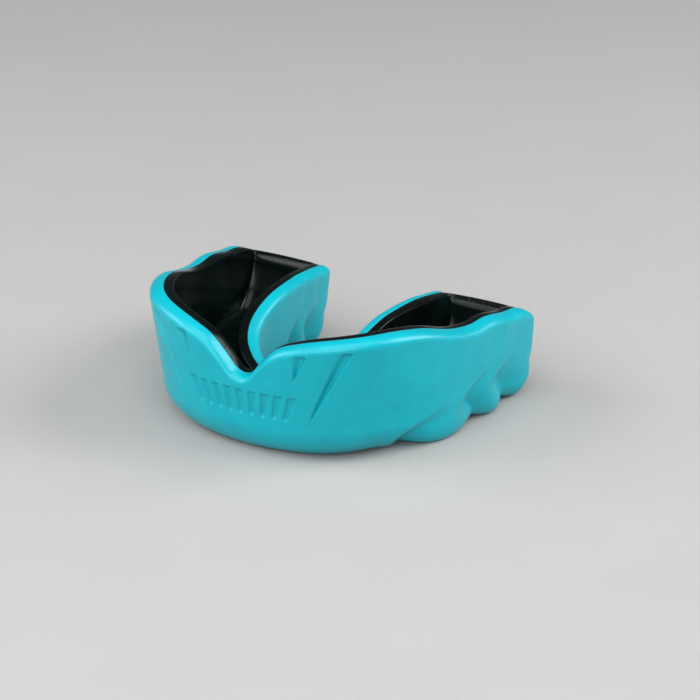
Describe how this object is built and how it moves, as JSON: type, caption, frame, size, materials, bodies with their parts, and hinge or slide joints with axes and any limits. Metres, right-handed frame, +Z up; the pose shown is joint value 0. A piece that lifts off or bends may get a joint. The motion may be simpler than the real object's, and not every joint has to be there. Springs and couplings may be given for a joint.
{
  "type": "boil-and-bite mouthguard",
  "caption": "U-shaped sports mouthguard: a dense rubber outer frame with lobed arms and a glossy black gel liner that takes the upper teeth.",
  "frame": {"origin": "under the middle of the part, at the centre of its bounding box on the plane it rests on", "axes": "+Z up out of the tooth channel, -Y towards the lips, arms towards +Y, X across the mouth"},
  "size_m": [0.0608, 0.0485, 0.0227],
  "materials": {
    "frame_rubber": "satin teal high-density rubber",
    "liner_gel": "glossy black thermoplastic gel"
  },
  "bodies": {
    "root": {"outer_frame": "frame_rubber", "gel_liner": "liner_gel"}
  },
  "joints": []
}
